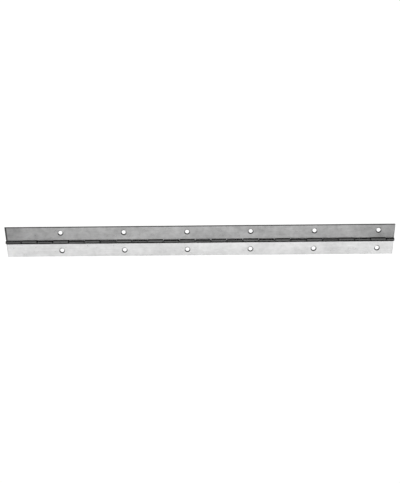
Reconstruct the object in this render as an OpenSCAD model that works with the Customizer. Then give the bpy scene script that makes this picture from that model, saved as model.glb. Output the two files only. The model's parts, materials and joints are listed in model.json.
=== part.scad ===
// Piano hinge: two leaves of rolled sheet on one wire pin, lying flat open.
// X runs along the pin, +Y is the door leaf's side, +Z is the side the knuckles stand out on.
// The backs of both leaves lie on z = 0, and the pin's axis is over y = 0.

/* [Length] */
// Length of one knuckle with its gap, mm
knuckle_pitch = 12.7; // [12:0.1:16]
// Whole knuckles; half a knuckle more ends the hinge at +X
whole_knuckles = 24; // [8:4:48]
// Gap between two neighbouring knuckles, mm
knuckle_gap = 0.3; // [0.2:0.05:0.6]

/* [Leaves] */
// Width of one leaf, from the pin's axis to its edge, mm
leaf_width = 12.7; // [11:0.1:20]
// Thickness of the sheet, mm
sheet = 0.6; // [0.5:0.05:0.8]
// Room between a knuckle and the corners of the notch it turns in, mm
notch_room = 0.1; // [0.06:0.02:0.3]
// Seam between a knuckle's rolled end and its own leaf, mm
seam = 0.12; // [0.08:0.02:0.2]

/* [Pin] */
// Diameter of the pin, mm
pin_d = 1.3; // [1.2:0.05:1.6]
// Running clearance round the pin, on the radius, mm
running = 0.05; // [0.04:0.01:0.08]
// Length of each staked end of the pin, mm
stake = 1.5; // [1:0.1:3]
// Grip of a staked end in its knuckle, on the radius, mm
stake_grip = 0.005; // [0.002:0.001:0.01]
// How far the pin's ends lie inside the end knuckles, mm
pin_inset = 0.15; // [0.05:0.05:0.4]
// Chamfer on the pin's ends, mm
pin_chamfer = 0.15; // [0.05:0.05:0.3]

/* [Screw holes] */
// Diameter of the screw holes, mm
screw_d = 3.2; // [3:0.1:3.6]
// Distance of the screw holes from the pin's axis, mm
screw_line = 7.6; // [6.8:0.1:8.4]
// Angle across the countersink, degrees
sink_angle = 100; // [80:5:110]
// Straight wall left under the countersink, mm
sink_land = 0.05; // [0.05:0.05:0.2]

/* [Hidden] */
$fn = 96;
cut = 1;
whole = (whole_knuckles + 0.5) * knuckle_pitch;
start = -whole / 2;
bore_r = pin_d / 2 + running;
barrel_r = bore_r + sheet;
axis_z = barrel_r;
// The notch's front corners pass the other leaf's knuckles with that room
notch_edge = sqrt(pow(barrel_r + notch_room, 2) - pow(axis_z - sheet, 2));
// The sheet's rolled end stops one seam above its own leaf
roll_angle = 270 + asin((axis_z - sheet - seam) / barrel_r);
// Screws come at every fourth knuckle
screws = whole_knuckles / 4;
sink_top_r = screw_d / 2 + (sheet - sink_land + cut) * tan(sink_angle / 2);
grip_r = bore_r + stake_grip;
pin_r = pin_d / 2;
pin_length = whole - 2 * pin_inset;

// Where knuckle k starts and stops; the two end knuckles run out to the hinge's ends
function knuckle_from(k) = k == 1 ? start : start + (k - 1) * knuckle_pitch + knuckle_gap / 2;
function knuckle_to(k) = k > whole_knuckles ? -start : start + k * knuckle_pitch - knuckle_gap / 2;
function screw_x(i) = start + (4 * i + 3.5) * knuckle_pitch;

// The flat of a leaf before rolling, on the -Y side: a strip with one tab per knuckle
module blank(first, last) {
    translate([start, -leaf_width])
        square([whole, leaf_width - notch_edge]);
    for (k = [first : 2 : last])
        translate([knuckle_from(k), -notch_edge - cut])
            square([knuckle_to(k) - knuckle_from(k), notch_edge + cut]);
}

// One rolled knuckle: it leaves its flat under the axis and goes round by +Y
module roll(k) {
    translate([knuckle_from(k), 0, axis_z])
        rotate([0, 90, 0])
            rotate_extrude(angle = roll_angle)
                translate([bore_r, 0])
                    square([sheet, knuckle_to(k) - knuckle_from(k)]);
}

// A countersunk screw hole, open on both faces
module screw_hole(i) {
    translate([screw_x(i), -screw_line, 0])
        rotate_extrude()
            polygon([[0, -cut],
                     [screw_d / 2, -cut],
                     [screw_d / 2, sink_land],
                     [sink_top_r, sheet + cut],
                     [0, sheet + cut]]);
}

// A whole leaf on the -Y side, with knuckles first, first + 2, ... last
module leaf(first, last) {
    difference() {
        union() {
            linear_extrude(height = sheet)
                blank(first, last);
            for (k = [first : 2 : last])
                roll(k);
        }
        for (i = [0 : screws - 1])
            screw_hole(i);
    }
}

// The leaf with both end knuckles, where the pin is staked
module frame_leaf() {
    color([0.80, 0.81, 0.82])
        leaf(1, whole_knuckles + 1);
}

// The leaf that swings
module door_leaf() {
    color([0.70, 0.71, 0.72])
        mirror([0, 1, 0])
            leaf(2, whole_knuckles);
}

// The wire pin, swollen a little at both ends by staking
module hinge_pin() {
    color([0.62, 0.63, 0.65])
        translate([-pin_length / 2, 0, axis_z])
            rotate([0, 90, 0])
                rotate_extrude()
                    polygon([[0, 0],
                             [grip_r - pin_chamfer, 0],
                             [grip_r, pin_chamfer],
                             [grip_r, stake],
                             [pin_r, stake + 0.2],
                             [pin_r, pin_length - stake - 0.2],
                             [grip_r, pin_length - stake],
                             [grip_r, pin_length - pin_chamfer],
                             [grip_r - pin_chamfer, pin_length],
                             [0, pin_length]]);
}

frame_leaf();
door_leaf();
hinge_pin();
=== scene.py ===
"""Piano hinge: the looks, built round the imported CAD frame.

The frame is the CAD's: X along the pin, +Y the door leaf's side, +Z the side the knuckles stand
out on, in metres, with the hinge lying flat open. The photograph's upper leaf is the door leaf.
"""

import json
import math

import bmesh
import bpy
from mathutils import Matrix, Vector


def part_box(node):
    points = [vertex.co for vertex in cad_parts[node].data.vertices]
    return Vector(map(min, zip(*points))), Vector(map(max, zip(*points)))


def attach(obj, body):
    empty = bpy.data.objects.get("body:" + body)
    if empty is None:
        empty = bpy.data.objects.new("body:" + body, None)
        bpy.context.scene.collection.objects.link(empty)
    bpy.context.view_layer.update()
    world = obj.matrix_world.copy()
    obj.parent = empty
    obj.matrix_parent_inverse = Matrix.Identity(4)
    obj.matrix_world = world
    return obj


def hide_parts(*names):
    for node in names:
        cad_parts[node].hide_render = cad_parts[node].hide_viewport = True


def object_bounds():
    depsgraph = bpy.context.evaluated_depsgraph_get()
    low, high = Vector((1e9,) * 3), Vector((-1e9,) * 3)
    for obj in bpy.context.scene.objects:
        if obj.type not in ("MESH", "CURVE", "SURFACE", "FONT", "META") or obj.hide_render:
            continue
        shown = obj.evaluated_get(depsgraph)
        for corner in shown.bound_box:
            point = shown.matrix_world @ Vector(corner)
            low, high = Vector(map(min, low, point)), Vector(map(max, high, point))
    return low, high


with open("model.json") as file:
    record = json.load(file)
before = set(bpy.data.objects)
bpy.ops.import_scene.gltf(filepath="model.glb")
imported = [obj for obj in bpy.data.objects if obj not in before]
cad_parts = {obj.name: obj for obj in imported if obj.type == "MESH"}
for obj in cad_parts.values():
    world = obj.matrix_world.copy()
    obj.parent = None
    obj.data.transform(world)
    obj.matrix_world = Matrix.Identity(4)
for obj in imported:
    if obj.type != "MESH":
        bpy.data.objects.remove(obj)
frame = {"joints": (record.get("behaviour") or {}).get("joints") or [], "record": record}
cad_low, cad_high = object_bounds()

MM = 0.001

# ---------------------------------------------------------------- sizes, from the frame
joint = frame["joints"][0]
mounts = {m["name"]: m for m in frame["record"]["mounts"]}
START = cad_low.x
END = cad_high.x
LEAF_WIDTH = cad_high.y
AXIS_Z = joint["pos_m"][2]
BARREL_R = AXIS_Z
SCREW_LINE = mounts["door_screws_inner"]["pos_m"][1]
SCREW_R = mounts["door_screws_inner"]["dims"]["hole_r_mm"] * MM
SCREW_PITCH = mounts["door_screws_inner"]["dims"]["spacing_x_mm"] * MM

# ---------------------------------------------------------------- sizes the frame doesn't state
SHEET = 0.6 * MM
KNUCKLES_PER_SCREW = 4
KNUCKLE_PITCH = SCREW_PITCH / KNUCKLES_PER_SCREW
KNUCKLE_GAP = 0.3 * MM
WHOLE_KNUCKLES = 24
SCREWS = WHOLE_KNUCKLES // KNUCKLES_PER_SCREW
FIRST_SCREW = START + 3.5 * KNUCKLE_PITCH
# Closer than the CAD's running room, so that no white floor shows through the notches
NOTCH_ROOM = 0.05 * MM
NOTCH_EDGE = math.sqrt((BARREL_R + NOTCH_ROOM) ** 2 - (AXIS_Z - SHEET) ** 2)
SEAM = 0.12 * MM
RUNNING = 0.05 * MM
BORE_R = BARREL_R - SHEET
PIN_R = BORE_R - RUNNING
SINK_LAND = 0.05 * MM
HALF_SINK_ANGLE = math.radians(50)
SINK_R = SCREW_R + (SHEET - SINK_LAND) * math.tan(HALF_SINK_ANGLE)

# The rolled part of the sheet, measured along the middle of its thickness
ROLL_ANGLE = math.radians(270) + math.asin((AXIS_Z - SHEET - SEAM) / BARREL_R)
ROLL_MEAN_R = BARREL_R - SHEET / 2
ROLL_LENGTH = ROLL_MEAN_R * ROLL_ANGLE
NOTCH_STATION = LEAF_WIDTH - NOTCH_EDGE
SHEET_END = LEAF_WIDTH + ROLL_LENGTH

# Rounded edges, and how far in from them the sheet is darkened
EDGE_ROUND = 0.06 * MM
KNUCKLE_RIM = 0.3 * MM
NOTCH_RIM = 0.05 * MM
START_RIM_FACTOR = 2.0
END_RIM_FACTOR = 0.3
HOLE_LIP = 0.03 * MM
HOLE_RIM = 0.22 * MM
# Insets along the roll are kept under the distance between two of its rows
ROLL_INSET = 0.12

# How finely the meshes are cut
EDGE_STEPS = 3
ROLL_ROWS = 48
ROLL_STATIONS = [LEAF_WIDTH + ROLL_LENGTH * i / ROLL_ROWS for i in range(ROLL_ROWS)]
HOLE_SIDES = 64
PIN_SIDES = 64
SMOOTH_BELOW = math.radians(38)


# ---------------------------------------------------------------- leaves
def knuckle_ends(k):
    """Where knuckle k starts and stops along X; the end knuckles run out to the hinge's ends."""
    low = START if k == 1 else START + (k - 1) * KNUCKLE_PITCH + KNUCKLE_GAP / 2
    high = END if k > WHOLE_KNUCKLES else START + k * KNUCKLE_PITCH - KNUCKLE_GAP / 2
    return low, high


def on_leaf(x, s, h, side):
    """The place of a point of the sheet: s from the leaf's outer edge, h up from its back.

    Past the pin's axis the sheet is rolled, and s goes on as the length round the roll.
    """
    if s <= LEAF_WIDTH:
        return Vector((x, side * (LEAF_WIDTH - s), h))
    angle = (s - LEAF_WIDTH) / ROLL_MEAN_R
    radius = BARREL_R - h
    return Vector((x, -side * radius * math.sin(angle), AXIS_Z - radius * math.cos(angle)))


def leaf_outline(first, last):
    """The blank's outline as (x, s, inward x, inward s), and each tab's rows as index lists."""
    knuckles = [knuckle_ends(k) for k in range(first, last + 1, 2)]
    outline = [(START, 0, 1, 1), (END, 0, -1, 1)]
    tabs = []
    if knuckles[-1][1] < END:
        outline.append((END, NOTCH_STATION, -1, -1))
    for low, high in reversed(knuckles):
        if high < END:
            outline.append((high, NOTCH_STATION, -1, -1))
        right = list(range(len(outline), len(outline) + ROLL_ROWS + 1))
        outline += [(high, s, -1, 0) for s in ROLL_STATIONS]
        outline.append((high, SHEET_END, -1, -1))
        left = list(range(len(outline), len(outline) + ROLL_ROWS + 1))[::-1]
        outline.append((low, SHEET_END, 1, -1))
        outline += [(low, s, 1, 0) for s in reversed(ROLL_STATIONS)]
        if low > START:
            outline.append((low, NOTCH_STATION, 1, -1))
        tabs.append((left, right))
    if knuckles[0][0] > START:
        outline.append((START, NOTCH_STATION, 1, -1))
    return outline, tabs


def edge_profile():
    """(inset, rims, height, sheared) of the rings round the blank, from its back to its front.

    inset is the rounding's, and rims counts how many darkened rims the ring lies further in.
    """
    rings = [(EDGE_ROUND, 1.5, 0, 0), (EDGE_ROUND, 1, 0, 0.8)]
    for i in range(EDGE_STEPS + 1):
        turn = math.pi / 2 * i / EDGE_STEPS
        rings.append((EDGE_ROUND * (1 - math.sin(turn)), 0, EDGE_ROUND * (1 - math.cos(turn)), 1))
    for i in range(EDGE_STEPS + 1):
        turn = math.pi / 2 * i / EDGE_STEPS
        inset = EDGE_ROUND * (1 - math.cos(turn))
        rings.append((inset, 0, SHEET - EDGE_ROUND * (1 - math.sin(turn)), 1))
    rings += [(EDGE_ROUND, 1, SHEET, 0.8), (EDGE_ROUND, 1.5, SHEET, 0)]
    return rings


def ring_place(point, inset, rims, height, side, edge_rim):
    """Where one outline point lies on one ring; the darkened rim is as wide as that edge's own."""
    x, s, inward_x, inward_s = point
    if x == START:
        rim_x = edge_rim * START_RIM_FACTOR
    elif x == END:
        rim_x = edge_rim * END_RIM_FACTOR
    else:
        rim_x = KNUCKLE_RIM
    rim_s = edge_rim if s == 0 else NOTCH_RIM
    if s > LEAF_WIDTH:
        inset_s = (inset + rims * NOTCH_RIM) * ROLL_INSET
    else:
        inset_s = inset + rims * rim_s
    return on_leaf(x + inward_x * (inset + rims * rim_x), s + inward_s * inset_s, height, side)


def hole_profile():
    """(radius, height, sheared, shade) of the rings down a screw hole, from the back to the front;
    shade is painted shade on the countersink's cone.
    """
    return [
        (SCREW_R + HOLE_LIP + HOLE_RIM, 0, 0, 0),
        (SCREW_R + HOLE_LIP, 0, 1, 0),
        (SCREW_R, HOLE_LIP, 1, 0),
        (SCREW_R, SINK_LAND, 0.5, 1),
        (SINK_R, SHEET, 0, 1),
        (SINK_R + HOLE_RIM, SHEET, 0, 0),
    ]


def band(bm, lower, upper):
    """Quads between two closed rings of vertices."""
    count = len(lower)
    for i in range(count):
        j = (i + 1) % count
        bm.faces.new((lower[i], lower[j], upper[j], upper[i]))


def edges_between(bm, vertices, closed=True):
    """The edges along a run of vertices, made where they are missing."""
    found = []
    count = len(vertices)
    for i in range(count if closed else count - 1):
        pair = (vertices[i], vertices[(i + 1) % count])
        found.append(bm.edges.get(pair) or bm.edges.new(pair))
    return found


def build_leaf(name, first, last, side, edge_rim, edge_darkening, knuckle_shade):
    """One leaf as a closed mesh: rounded sheared edges, countersunk holes and rolled knuckles.

    side is +1 for the leaf on the +Y side. Its points carry two values, read by the steel:
    sheared, up to 1 on the cut edges and the rims darkened along them, and a second, up to 1 where
    shade is painted into the sheet's colour, on the -Y side of the countersinks and round the knuckles.
    """
    bm = bmesh.new()
    sheared = bm.verts.layers.float.new("sheared")
    worked = bm.verts.layers.float.new("worked")
    outline, tabs = leaf_outline(first, last)

    rings = []
    for inset, rims, height, edge_dark in edge_profile():
        ring = []
        for point in outline:
            vertex = bm.verts.new(ring_place(point, inset, rims, height, side, edge_rim))
            outer = point[1] == 0 or (point[1] < LEAF_WIDTH and point[0] in (START, END))
            vertex[sheared] = edge_dark * edge_darkening if outer else edge_dark
            # Painted shade on the rolled part of the sheet, the knuckles
            vertex[worked] = knuckle_shade * min(1, max(0, (point[1] - LEAF_WIDTH) / SHEET))
            ring.append(vertex)
        rings.append(ring)
    for lower, upper in zip(rings, rings[1:]):
        band(bm, lower, upper)

    caps = {0: [], -1: []}
    for i in range(SCREWS):
        centre = Vector((FIRST_SCREW + i * SCREW_PITCH, side * SCREW_LINE, 0))
        hole = []
        for radius, height, edge_dark, hole_shade in hole_profile():
            ring = []
            for n in range(HOLE_SIDES):
                turn = 2 * math.pi * n / HOLE_SIDES
                reach = Vector((radius * math.cos(turn), radius * math.sin(turn), height))
                vertex = bm.verts.new(centre + reach)
                vertex[sheared] = edge_dark
                # Painted shade, most on the -Y side of the hole, none on its +Y side
                vertex[worked] = hole_shade * min(1, max(0, 0.6 - math.sin(turn)))
                ring.append(vertex)
            hole.append(ring)
        for lower, upper in zip(hole, hole[1:]):
            band(bm, lower, upper)
        for cap in caps:
            caps[cap] += edges_between(bm, hole[cap])

    for cap, hole_edges in caps.items():
        ring = rings[cap]
        rolled = set()
        across = []
        for left, right in tabs:
            for row in range(ROLL_ROWS):
                corners = (left[row], right[row], right[row + 1], left[row + 1])
                bm.faces.new([ring[i] for i in corners])
            across += edges_between(bm, [ring[left[0]], ring[right[0]]], closed=False)
            rolled.update(range(right[0], left[0]))
        flat = []
        for i in range(len(ring)):
            if i not in rolled:
                flat += edges_between(bm, [ring[i], ring[(i + 1) % len(ring)]], closed=False)
        bmesh.ops.triangle_fill(bm, use_beauty=True, edges=flat + across + hole_edges)

    bmesh.ops.recalc_face_normals(bm, faces=bm.faces)
    return finished_mesh(bm, name)


def finished_mesh(bm, name):
    """A new object from bm, smooth up to SMOOTH_BELOW, with its flats kept flat."""
    mesh = bpy.data.meshes.new(name)
    bm.to_mesh(mesh)
    bm.free()
    mesh.shade_smooth()
    mesh.set_sharp_from_angle(angle=SMOOTH_BELOW)
    piece = bpy.data.objects.new(name, mesh)
    bpy.context.scene.collection.objects.link(piece)
    weighted = piece.modifiers.new("flat_faces_stay_flat", "WEIGHTED_NORMAL")
    weighted.keep_sharp = True
    weighted.weight = 90
    return piece


# ---------------------------------------------------------------- pin
def build_pin(name):
    """The wire pin, with both ends swollen and dished a little by the staking punch."""
    low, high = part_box("hinge_pin")
    half = (high.x - low.x) / 2
    stake = 1.5 * MM
    taper = 0.2 * MM
    chamfer = 0.15 * MM
    dish = 0.12 * MM
    end = [
        (0.0, half - dish),
        (BORE_R * 0.35, half - dish * 0.85),
        (BORE_R * 0.55, half - dish * 0.2),
        (BORE_R - chamfer * 1.4, half),
        (BORE_R - chamfer * 0.6, half - chamfer * 0.25),
        (BORE_R, half - chamfer),
        (BORE_R, half - stake),
        (PIN_R, half - stake - taper),
    ]
    profile = [(r, -x) for r, x in end] + [(r, x) for r, x in reversed(end)]
    bm = bmesh.new()
    rings = []
    for radius, x in profile[1:-1]:
        ring = []
        for n in range(PIN_SIDES):
            turn = 2 * math.pi * n / PIN_SIDES
            ring.append(bm.verts.new((x, radius * math.sin(turn), AXIS_Z + radius * math.cos(turn))))
        rings.append(ring)
    for lower, upper in zip(rings, rings[1:]):
        band(bm, lower, upper)
    for ring, (_, x) in ((rings[0], profile[0]), (rings[-1], profile[-1])):
        tip = bm.verts.new((x, 0, AXIS_Z))
        for i in range(PIN_SIDES):
            bm.faces.new((ring[i], ring[(i + 1) % PIN_SIDES], tip))
    bmesh.ops.recalc_face_normals(bm, faces=bm.faces)
    return finished_mesh(bm, name)


# ---------------------------------------------------------------- node helpers
class Nodes:
    """A short way to lay out a node tree: add gives the node, the other helpers its output."""

    def __init__(self, tree):
        self.tree = tree
        tree.nodes.clear()

    def add(self, kind, **settings):
        node = self.tree.nodes.new(kind)
        for key, value in settings.items():
            setattr(node, key, value)
        return node

    def join(self, value, socket):
        if isinstance(value, bpy.types.NodeSocket):
            self.tree.links.new(value, socket)
        else:
            socket.default_value = value

    def math(self, operation, a, b=0.0, clamp=False):
        node = self.add("ShaderNodeMath", operation=operation, use_clamp=clamp)
        self.join(a, node.inputs[0])
        self.join(b, node.inputs[1])
        return node.outputs[0]

    def smooth(self, value, low, high):
        """0 where value is at or past low, 1 at or past high, smooth between."""
        node = self.add("ShaderNodeMapRange", interpolation_type="SMOOTHSTEP", clamp=True)
        self.join(value, node.inputs["Value"])
        node.inputs["From Min"].default_value = low
        node.inputs["From Max"].default_value = high
        return node.outputs["Result"]

    def noise(self, place, stretch, detail=3.0, roughness=0.55):
        """Noise round 0, from about -0.5 to 0.5, with stretch cells a metre along each axis."""
        mapped = self.add("ShaderNodeMapping")
        self.join(place, mapped.inputs["Vector"])
        mapped.inputs["Scale"].default_value = stretch
        node = self.add("ShaderNodeTexNoise")
        node.inputs["Scale"].default_value = 1.0
        node.inputs["Detail"].default_value = detail
        node.inputs["Roughness"].default_value = roughness
        self.join(mapped.outputs[0], node.inputs["Vector"])
        return self.math("SUBTRACT", node.outputs["Fac"], 0.5)

    def total(self, *terms):
        """The sum of (value, weight) terms."""
        result = None
        for value, weight in terms:
            part = self.math("MULTIPLY", value, weight)
            result = part if result is None else self.math("ADD", result, part)
        return result


def steel(name, tone, roughness, mottle, root, root_shade_depth, sheared_depth, painted_shade_depth):
    """Cold-rolled strip: streaks along X, soft blotches, dull sheared edges, painted shade round the
    knuckles.

    root is how far the painted root shade reaches out from the knuckles, and the three depths say how
    much darker the painted root shade, the sheared edges and the painted knuckle and countersink shade
    are, from 0 to 1.
    """
    material = bpy.data.materials.new(name)
    material.use_nodes = True
    n = Nodes(material.node_tree)
    place = n.add("ShaderNodeTexCoord").outputs["Object"]

    streaks = n.noise(place, (18, 900, 900), detail=4)
    hairlines = n.noise(place, (90, 5200, 5200), detail=2)
    blotches = n.noise(place, (240, 300, 300), detail=2)
    clouds = n.noise(place, (45, 70, 70), detail=1)

    # Painted shade in the knuckles' roots: how deep in them a point lies, from its distance to the pin
    # and its height
    offset = n.add("ShaderNodeVectorMath", operation="SUBTRACT")
    n.join(place, offset.inputs[0])
    offset.inputs[1].default_value = (0, 0, AXIS_Z)
    split = n.add("ShaderNodeSeparateXYZ")
    n.join(offset.outputs[0], split.inputs[0])
    across = n.math("MULTIPLY", split.outputs["Y"], split.outputs["Y"])
    above = n.math("MULTIPLY", split.outputs["Z"], split.outputs["Z"])
    reach = n.math("SQRT", n.math("ADD", across, above))
    near = n.smooth(reach, BARREL_R + root, BARREL_R + 0.45 * root)
    low = n.smooth(split.outputs["Z"], BARREL_R * 0.4, BARREL_R * -0.2)
    root_shade = n.math("MULTIPLY", near, low)
    root_shade = n.math("MULTIPLY", root_shade, n.math("ADD", 1.0, blotches), clamp=True)

    sheared = n.add("ShaderNodeAttribute", attribute_name="sheared").outputs["Fac"]
    worked = n.add("ShaderNodeAttribute", attribute_name="worked").outputs["Fac"]
    # Painted shade on the -Y flank of every knuckle
    flank_shade = n.smooth(split.outputs["Y"], BARREL_R * -0.08, BARREL_R * -0.3)
    flank_shade = n.math("MULTIPLY", flank_shade, n.smooth(reach, BARREL_R + 0.1 * MM, BARREL_R + 0.02 * MM))
    worked = n.math("MAXIMUM", worked, flank_shade)

    shade = n.total((streaks, 0.35), (hairlines, 0.2), (blotches, 0.7 * mottle), (clouds, 0.6 * mottle))
    shade = n.math("ADD", 1.0, shade)
    # Darker by the painted root shade, the sheared edges and the painted knuckle and countersink shade
    for mask, depth in ((root_shade, root_shade_depth), (sheared, sheared_depth), (worked, painted_shade_depth)):
        shade = n.math("MULTIPLY", shade, n.math("SUBTRACT", 1.0, n.math("MULTIPLY", mask, depth)))
    colour = n.add("ShaderNodeVectorMath", operation="SCALE")
    colour.inputs[0].default_value = tone
    n.join(shade, colour.inputs["Scale"])

    rough = n.total((streaks, 0.12), (blotches, 0.10), (sheared, 0.2), (worked, -0.14))
    rough = n.math("ADD", rough, roughness)

    bump = n.add("ShaderNodeBump")
    bump.inputs["Strength"].default_value = 0.25
    bump.inputs["Distance"].default_value = 0.012 * MM
    relief = n.total((hairlines, 1.0), (streaks, 1.5), (blotches, 0.6))
    n.join(relief, bump.inputs["Height"])

    shader = n.add("ShaderNodeBsdfPrincipled")
    shader.inputs["Metallic"].default_value = 1.0
    n.join(colour.outputs[0], shader.inputs["Base Color"])
    # The painted shade also damps the grazing reflection, so those places stay dark at grazing angles
    # too
    n.join(n.math("SUBTRACT", 1.0, n.math("MULTIPLY", worked, 0.9)), shader.inputs["Specular Tint"])
    n.join(rough, shader.inputs["Roughness"])
    n.join(bump.outputs[0], shader.inputs["Normal"])
    output = n.add("ShaderNodeOutputMaterial")
    n.join(shader.outputs[0], output.inputs["Surface"])
    return material


# ---------------------------------------------------------------- pieces
STEEL_TONE = (0.70, 0.70, 0.70)
WIRE_TONE = (0.42, 0.42, 0.42)
# The leaves' painted root shade differs: the frame leaf's reaches further and is darker; the pin's
# lower half gets some as well
frame_steel = steel(
    "frame_leaf_steel", STEEL_TONE, roughness=0.30, mottle=0.6, root=1.12 * MM,
    root_shade_depth=0.93, sheared_depth=0.9, painted_shade_depth=0.93,
)
door_steel = steel(
    "door_leaf_steel", STEEL_TONE, roughness=0.30, mottle=1.0, root=0.35 * MM,
    root_shade_depth=0.8, sheared_depth=0.9, painted_shade_depth=0.93,
)
pin_steel = steel(
    "pin_steel", WIRE_TONE, roughness=0.38, mottle=1.0, root=0.5 * MM,
    root_shade_depth=0.5, sheared_depth=0.0, painted_shade_depth=0.0,
)

# The knuckle value is painted shade on each leaf's knuckles, darker on the frame leaf's; the edge value
# sets how dark the rim along the outer edges is
frame_leaf = build_leaf(
    "frame_leaf_sheet", 1, WHOLE_KNUCKLES + 1, side=-1,
    edge_rim=0.08 * MM, edge_darkening=0.3, knuckle_shade=0.88,
)
door_leaf = build_leaf(
    "door_leaf_sheet", 2, WHOLE_KNUCKLES, side=1,
    edge_rim=0.5 * MM, edge_darkening=1.0, knuckle_shade=0.72,
)
hinge_pin = build_pin("hinge_pin_wire")

for piece, body, node, slot, material in (
    (frame_leaf, "frame", "frame_leaf", "leaf_steel", frame_steel),
    (door_leaf, "door", "door_leaf", "leaf_steel", door_steel),
    (hinge_pin, "frame", "hinge_pin", "pin_steel", pin_steel),
):
    piece.data.materials.append(material)
    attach(piece, body)
    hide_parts(node)


# ---------------------------------------------------------------- studio
def glow(name, strength):
    """A plain even white that needs no light of its own."""
    material = bpy.data.materials.new(name)
    material.use_nodes = True
    n = Nodes(material.node_tree)
    shader = n.add("ShaderNodeEmission")
    shader.inputs["Color"].default_value = (1, 1, 1, 1)
    shader.inputs["Strength"].default_value = strength
    output = n.add("ShaderNodeOutputMaterial")
    n.join(shader.outputs[0], output.inputs["Surface"])
    return material


def build_sheet(name, half_x, half_y, height):
    """One flat rectangle that faces up, centred under the hinge."""
    bm = bmesh.new()
    corners = [(-half_x, -half_y), (half_x, -half_y), (half_x, half_y), (-half_x, half_y)]
    bm.faces.new([bm.verts.new((x, y, height)) for x, y in corners])
    mesh = bpy.data.meshes.new(name)
    bm.to_mesh(mesh)
    bm.free()
    sheet = bpy.data.objects.new(name, mesh)
    bpy.context.scene.collection.objects.link(sheet)
    return sheet


def build_backdrop(name, radius):
    """A pale dome all round, seen by the camera but not by the steel."""
    bm = bmesh.new()
    bmesh.ops.create_uvsphere(bm, u_segments=48, v_segments=24, radius=radius)
    mesh = bpy.data.meshes.new(name)
    bm.to_mesh(mesh)
    bm.free()
    dome = bpy.data.objects.new(name, mesh)
    bpy.context.scene.collection.objects.link(dome)
    dome.visible_diffuse = False
    dome.visible_glossy = False
    dome.visible_transmission = False
    dome.visible_shadow = False
    return dome


def softbox(name, radiance, size, direction, distance, receivers):
    """A large soft light that looks at the hinge from a direction and lights only receivers."""
    data = bpy.data.lights.new(name, "AREA")
    data.shape = "RECTANGLE"
    data.size, data.size_y = size
    data.energy = radiance * math.pi * size[0] * size[1]
    light = bpy.data.objects.new(name, data)
    bpy.context.scene.collection.objects.link(light)
    light.location = Vector(direction).normalized() * distance
    light.rotation_euler = Vector(direction).to_track_quat("Z", "Y").to_euler()
    light.visible_camera = False
    group = bpy.data.collections.new(name + "_receivers")
    for piece in receivers:
        group.objects.link(piece)
    light.light_linking.receiver_collection = group


# The floor lies low enough for the door leaf to swing down clear of it
SWING_DEPTH = LEAF_WIDTH - AXIS_Z
FLOOR_HEIGHT = -SWING_DEPTH - 2 * MM
PALE = 1.05
floor = build_sheet("floor", 1.2, 1.2, FLOOR_HEIGHT)
floor.visible_glossy = False
floor.data.materials.append(glow("pale_floor", PALE))
backdrop = build_backdrop("backdrop", 6)
backdrop.data.materials.append(glow("pale_backdrop", PALE))

# A white card under the hinge, mirrored in the far walls of the screw holes
card = build_sheet("white_card", 0.2, 0.04, FLOOR_HEIGHT + MM)
card.visible_camera = False
card.data.materials.append(glow("pale_card", PALE))


def leaning(degrees):
    """The direction straight up, leant over toward +Y."""
    angle = math.radians(degrees)
    return (0, math.sin(angle), math.cos(angle))


# Each leaf has its own softbox overhead, since the photograph shows one leaf much brighter
LIGHT_DISTANCE = 1.0
softbox("softbox_frame", 1.45, (2.2, 0.8), leaning(-4), LIGHT_DISTANCE, [frame_leaf, hinge_pin])
softbox("softbox_door", 0.73, (1.04, 0.8), leaning(-4), LIGHT_DISTANCE, [door_leaf])
softbox("softbox_behind", 0.4, (1.6, 0.8), leaning(44), LIGHT_DISTANCE, [door_leaf])

# The surroundings that the steel mirrors: bright past the hinge's ends, dark in front and behind
ENDS_LEVEL = 1.0
HORIZON_LEVEL = 0.12
BASE_LEVEL = 0.05

world = bpy.data.worlds.new("studio")
world.use_nodes = True
bpy.context.scene.world = world
n = Nodes(world.node_tree)
toward = n.add("ShaderNodeSeparateXYZ")
n.join(n.add("ShaderNodeTexCoord").outputs["Generated"], toward.inputs[0])
ends = n.smooth(n.math("ABSOLUTE", toward.outputs["X"]), 0.45, 0.85)
horizon = n.smooth(toward.outputs["Z"], 0.5, 0.1)
level = n.total((ends, ENDS_LEVEL), (horizon, HORIZON_LEVEL))
level = n.math("ADD", level, BASE_LEVEL)
background = n.add("ShaderNodeBackground")
background.inputs["Color"].default_value = (1, 1, 1, 1)
n.join(level, background.inputs["Strength"])
output = n.add("ShaderNodeOutputWorld")
n.join(background.outputs[0], output.inputs["Surface"])

scene = bpy.context.scene
scene.view_settings.view_transform = "Standard"

# ---------------------------------------------------------------- camera, at the photograph's angle
TILT = math.radians(21.3)
YAW = math.radians(0.87)
ROLL = math.radians(-0.51)
DISTANCE = 494 * MM
AIM = Vector((0.70 * MM, -0.77 * MM, 0.8 * MM))
LENS_MM = 45.853


def turned(first, second, angle):
    """Two axes turned together in their own plane, first toward second."""
    along = first * math.cos(angle) + second * math.sin(angle)
    across = second * math.cos(angle) - first * math.sin(angle)
    return along, across


right = Vector((1, 0, 0))
up = Vector((0, math.cos(TILT), -math.sin(TILT)))
back = Vector((0, math.sin(TILT), math.cos(TILT)))
back, right = turned(back, right, YAW)
right, up = turned(right, up, ROLL)

camera_data = bpy.data.cameras.new("camera")
camera_data.sensor_width = 36
camera_data.lens = LENS_MM
camera_data.clip_start = 0.01
camera_data.dof.use_dof = False
camera = bpy.data.objects.new("camera", camera_data)
scene.collection.objects.link(camera)
axes = Matrix((right, up, back)).transposed().to_4x4()
camera.matrix_world = Matrix.Translation(AIM + back * DISTANCE) @ axes
scene.camera = camera
